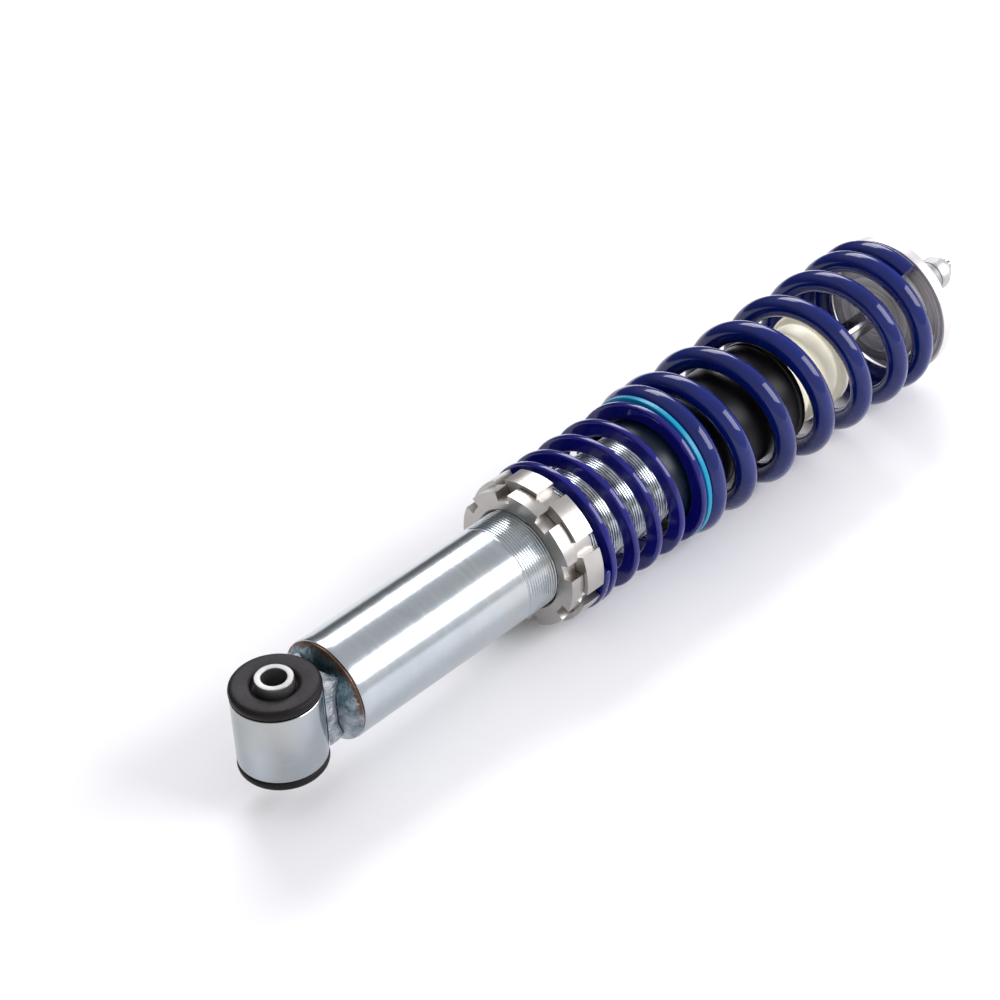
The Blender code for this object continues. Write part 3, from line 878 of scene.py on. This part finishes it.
DUST_WALL = 1.3
DUST_LIP_IN = 24.6
dust_x, dust_end = ends("dust_tube")
dust_out = reach("dust_tube")
dust_r = dust_out - 0.7
dust = soften(
    [
        (dust_x, dust_r - DUST_WALL, 0.2),
        (dust_x, dust_r, 0.7),
        (dust_x + 9.0, dust_r, 0.2),
        (dust_x + 9.4, dust_r - 0.25, 0.2),
        (dust_x + 10.4, dust_r - 0.25, 0.2),
        (dust_x + 10.8, dust_r, 0.2),
        (dust_end - 3.6, dust_r, 0.3),
        (dust_end - 2.8, dust_out, 0.4),
        (dust_end, dust_out, 0.8),
        (dust_end, DUST_LIP_IN, 0.5),
        (dust_end - 2.4, DUST_LIP_IN, 0.3),
        (dust_end - 3.2, dust_r - DUST_WALL, 0.2),
    ],
    0.4,
)
lathe("dust_sleeve", dust, BLACK, "bumper", "dust_tube", 112)

# Half of a bellows cell: distance from the cell's end, depth below the outer radius, rounding.
CELL_HALF = ((3.2, 0.5, 1.6), (4.9, 4.2, 1.4), (7.2, 3.2, 1.6))
BUMP_BORE_R = 5.9
bump_x, bump_end = ends("bump_stop")
bump_r = reach("bump_stop")
cell = (bump_end - bump_x) / 2.0
bump = [(bump_x, BUMP_BORE_R, 0.3), (bump_x, bump_r, 1.2)]
for base in (bump_x, bump_x + cell):
    if base > bump_x:
        bump.append((base, bump_r, 1.9))
    bump.extend((base + gap, bump_r - deep, own) for gap, deep, own in CELL_HALF)
    bump.extend((base + cell - gap, bump_r - deep, own) for gap, deep, own in reversed(CELL_HALF))
bump.extend(
    [
        (bump_end, bump_r - 0.2, 1.6),
        (bump_end, 14.0, 0.4),
        (bump_end - 0.7, 13.2, 0.4),
        (bump_end - 0.7, BUMP_BORE_R, 0.3),
    ]
)
lathe("bump_stop_foam", soften(bump, 0.6, 5), FOAM, "bumper", "bump_stop", 96, sharp=50.0)

# ---------------------------------------------------------------- rod and top plate

rod_low, rod_high = ends("piston_rod")
plate_low, plate_high = ends("top_plate")
collar_low, collar_high = ends("top_collar")
spacer_low, spacer_high = ends("spacer_sleeve")
nut_low, nut_high = ends("top_nut")
plate_r = reach("top_plate")
ROD_R = 5.5
STUD_R = 4.8
STUD_BORE_R = STUD_R + FIT
STUD_PITCH = 1.25
FOOT_R = 4.0
TANG_R = 3.4
TANG_FLAT = 2.5
BOSS_R = 27.2
PLATE_BORE_R = 8.6
seat_x = plate_low + 9.8
step_x = plate_low + 6.0
stud_end = nut_high + 0.9


def tang(station, radius, angle):
    """The rod's last few millimetres are filed to two flats."""
    if station < stud_end + 0.05:
        return radius
    return min(radius, TANG_FLAT / max(abs(math.cos(angle)), 0.01))


rod = [
    (rod_low, 0.0),
    (rod_low, 3.5),
    (rod_low + 0.5, FOOT_R),
    (rod_low + 27.8, FOOT_R),
    (rod_low + 27.8, ROD_R - 0.2),
    (rod_low + 28.0, ROD_R),
]
rod.extend((float(x), ROD_R) for x in np.linspace(rod_low + 60.0, step_x - 0.8, 6))
rod.append((step_x, STUD_R))
rod.append((nut_low + 1.0, STUD_R))
crest = nut_low + 1.0
while crest < stud_end - 1.0:
    rod.append((crest + 0.3, STUD_R))
    rod.append((crest + 0.65, STUD_R - 0.55))
    rod.append((crest + 0.95, STUD_R - 0.05))
    crest += STUD_PITCH
rod.extend(
    [
        (stud_end - 0.5, STUD_R),
        (stud_end, STUD_R - 0.6),
        (stud_end + 0.1, TANG_R),
        (rod_high - 0.3, TANG_R),
        (rod_high, 3.1),
        (rod_high, 0.0),
    ]
)
lathe("rod_bar", rod, CHROME, "rod", "piston_rod", 64, shape=tang)

plate = soften(
    [
        (plate_low, PLATE_BORE_R, 0.5),
        (plate_low, BOSS_R, 0.8),
        (seat_x, BOSS_R, 0.3),
        (seat_x, plate_r, 0.5),
        (seat_x + 5.8, plate_r, 0.4),
        (seat_x + 6.6, plate_r - 0.8, 0.3),
        (seat_x + 8.0, plate_r - 6.8, 0.5),
        (seat_x + 8.0, 23.2, 0.3),
        (seat_x + 7.2, 22.6, 0.3),
        (seat_x + 7.6, 21.6, 0.4),
        (plate_high - 0.7, 11.6, 0.4),
        (plate_high, 10.6, 0.4),
        (plate_high, STUD_BORE_R, 0.2),
        (step_x + FIT, STUD_BORE_R, 0.2),
        (step_x + FIT, PLATE_BORE_R, 0.4),
    ],
    0.4,
)
lathe("plate_turned", plate, PLATE, "rod", "top_plate", 128)

COLLAR_R = 10.4
collar = soften(
    [
        (collar_low, STUD_BORE_R, 0.1),
        (collar_low, COLLAR_R, 0.3),
        (collar_low + 0.6, COLLAR_R, 0.15),
        (collar_low + 0.75, 10.05, 0.1),
        (collar_low + 0.9, COLLAR_R, 0.15),
        (collar_high, COLLAR_R, 0.3),
        (collar_high, STUD_BORE_R, 0.1),
    ],
    0.2,
)
lathe("collar_rings", collar, SLEEVE, "rod", "top_collar", 72)

lip_r = reach("spacer_sleeve")
spacer_r = lip_r - 0.7
spacer = soften(
    [
        (spacer_low, STUD_BORE_R, 0.1),
        (spacer_low, lip_r, 0.3),
        (spacer_low + 1.7, lip_r, 0.3),
        (spacer_low + 1.9, spacer_r, 0.2),
        (spacer_high, spacer_r, 0.7),
        (spacer_high, STUD_BORE_R, 0.2),
    ],
    0.3,
)
lathe("sleeve_turned", spacer, SLEEVE, "rod", "spacer_sleeve", 72)

# Half the nut's width over its flats, and the bore of the crown that holds the nylon ring.
NUT_HALF = 8.5
CROWN_IN = NUT_HALF - 1.95


def nut_shape(station, radius, angle):
    """Six flats, with corners that a chamfer rounds off at both ends of the hexagon."""
    if not nut_low - 0.01 <= station <= nut_low + 6.9 or radius < NUT_HALF - 1.2:
        return radius
    turn = math.fmod(angle + math.radians(12.0), math.pi / 3.0) - math.pi / 6.0
    flat = NUT_HALF / math.cos(turn)
    depth = min(station - nut_low, nut_low + 6.6 - station)
    limit = NUT_HALF + 0.05 + 0.5 * min(1.0, max(depth, 0.0))
    return min(flat, limit)


nut = [(nut_low, STUD_BORE_R), (nut_low, NUT_HALF - 0.4)]
nut.extend((float(x), NUT_HALF) for x in np.linspace(nut_low + 0.05, nut_low + 6.55, 18))
nut.extend(
    soften(
        [
            (nut_low + 6.95, NUT_HALF - 1.3, 0.3),
            (nut_high - 1.6, NUT_HALF - 1.4, 0.6),
            (nut_high, NUT_HALF - 2.2, 0.4),
            (nut_high - 0.8, NUT_HALF - 2.6, 0.1),
            (nut_high - 0.8, CROWN_IN, 0.1),
            (nut_high - 3.4, CROWN_IN, 0.1),
            (nut_high - 3.4, STUD_BORE_R, 0.1),
        ],
        0.3,
    )
)
lathe("nut_hex", nut, NUT, "rod", "top_nut", 120, shape=nut_shape, sharp=24.0)

# ---------------------------------------------------------------- CAD nodes that stay

KEPT = {
    "nut_insert": NYLON,
    "gland_nut": STEEL,
    "gland_o_ring": RUBBER,
    "rod_seal": RUBBER,
    "rod_guide": STEEL,
    "guide_bush": BRONZE,
    "pressure_tube": STEEL,
    "foot_valve": STEEL,
    "foot_valve_disc": STEEL,
    "foot_valve_pin": STEEL,
    "piston": STEEL,
    "piston_band": BRONZE,
    "piston_nut": STEEL,
    "rebound_shims": STEEL,
    "compression_shims": STEEL,
    "rebound_stop": RUBBER,
}
for node, material in KEPT.items():
    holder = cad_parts[node]
    holder.data.materials.clear()
    holder.data.materials.append(material)

# ---------------------------------------------------------------- floor, light and camera


FLOOR_HALF = 30.0
LAMP_AWAY = 2.2
LAMP_LONG = 1.9
LAMP_COLOUR = (0.97, 0.955, 1.0)
OVERHEAD_LIGHT = 0.66
SKY_COLOUR = (0.98, 0.98, 1.0, 1.0)
CAMERA_AZIMUTH = math.radians(-43.963)
CAMERA_ELEVATION = math.radians(37.4225)
CAMERA_ROLL = math.radians(-3.2002)
CAMERA_LENS = 98.2


def seen_from(spot, right, up, back):
    """Placement of a lamp or camera: its place, and where its right, its top and its back point."""
    return Matrix.Translation(spot) @ Matrix((right, up, back)).transposed().to_4x4()


def floor():
    """A pale floor, too wide for its edges to show."""
    mesh = bpy.data.meshes.new("studio_floor")
    signs = ((-1, -1), (1, -1), (1, 1), (-1, 1))
    corners = [(x * FLOOR_HALF, y * FLOOR_HALF, 0.0) for x, y in signs]
    mesh.from_pydata(corners, [], [(0, 1, 2, 3)])
    look = Look("studio_floor")
    cloud = look.noise(look.place, 3.0, 2.0)
    look.set(
        colour=look.mix(cloud, (0.93, 0.93, 0.935), (0.91, 0.91, 0.915)),
        rough=0.75,
        metal=0.0,
        specular=0.15,
    )
    mesh.materials.append(look.material)
    obj = bpy.data.objects.new("studio_floor", mesh)
    bpy.context.scene.collection.objects.link(obj)


floor()


def fan(degrees):
    """A direction that leans to the strut's far end, turned from +Y up towards +Z."""
    lean = 0.51
    rest = math.sqrt(1.0 - lean * lean)
    angle = math.radians(degrees)
    return Vector((lean, rest * math.cos(angle), rest * math.sin(angle))).normalized()


def soft_box(name, away, height, power):
    """A rectangular area light that faces the strut's middle, its long side along the strut."""
    lamp = bpy.data.lights.new(name, "AREA")
    lamp.shape = "RECTANGLE"
    lamp.size = LAMP_LONG
    lamp.size_y = height
    lamp.energy = power
    lamp.color = LAMP_COLOUR
    obj = bpy.data.objects.new(name, lamp)
    aim = Vector((0.0, 0.0, AXIS_Z))
    along = Vector((1.0, 0.0, 0.0))
    along = (along - away * along.dot(away)).normalized()
    obj.matrix_world = seen_from(aim + away * LAMP_AWAY, along, away.cross(along), away)
    bpy.context.scene.collection.objects.link(obj)


soft_box("back_softbox", fan(49.0), 0.85, 35.0)
soft_box("front_softbox", fan(141.0), 1.05, 41.0)


def sky():
    """A grey studio: pale in front of the strut and overhead, dark low down behind it."""
    world = bpy.data.worlds.new("studio")
    bpy.context.scene.world = world
    world.use_nodes = True
    tree = world.node_tree
    background = tree.nodes["Background"]
    coord = tree.nodes.new("ShaderNodeTexCoord")
    parts = tree.nodes.new("ShaderNodeSeparateXYZ")
    tree.links.new(coord.outputs["Generated"], parts.inputs[0])

    def ease(axis, low, high, at_low, at_high):
        node = tree.nodes.new("ShaderNodeMapRange")
        node.interpolation_type = "SMOOTHSTEP"
        tree.links.new(parts.outputs[axis], node.inputs[0])
        for socket, value in zip(node.inputs[1:5], (low, high, at_low, at_high)):
            socket.default_value = value
        return node.outputs[0]

    horizon = ease("Y", -0.55, 0.45, 0.85, 0.13)
    height = ease("Z", 0.20, 0.75, 0.0, 1.0)
    blend = tree.nodes.new("ShaderNodeMix")
    tree.links.new(height, blend.inputs[0])
    tree.links.new(horizon, blend.inputs[2])
    blend.inputs[3].default_value = OVERHEAD_LIGHT
    tree.links.new(blend.outputs[0], background.inputs["Strength"])
    background.inputs["Color"].default_value = SKY_COLOUR


sky()


def camera():
    """The photograph's view: from the eye's end, in front of the strut and above it."""
    level = Vector((math.cos(CAMERA_AZIMUTH), math.sin(CAMERA_AZIMUTH), 0.0))
    flat = math.cos(CAMERA_ELEVATION)
    back = Vector((level.y * flat, -level.x * flat, math.sin(CAMERA_ELEVATION)))
    above = back.cross(level)
    right = level * math.cos(CAMERA_ROLL) + above * math.sin(CAMERA_ROLL)
    up = above * math.cos(CAMERA_ROLL) - level * math.sin(CAMERA_ROLL)
    lens = bpy.data.cameras.new("studio_camera")
    lens.lens = CAMERA_LENS
    lens.sensor_width = 36.0
    lens.clip_start = 0.05
    lens.clip_end = 20.0
    obj = bpy.data.objects.new("studio_camera", lens)
    bpy.context.scene.collection.objects.link(obj)
    spot = Vector((EYE_X - 0.5417, -0.70717, AXIS_Z + 0.79153))
    obj.matrix_world = seen_from(spot, right, up, back)
    bpy.context.scene.camera = obj


camera()

scene = bpy.context.scene
scene.view_settings.view_transform = "Standard"
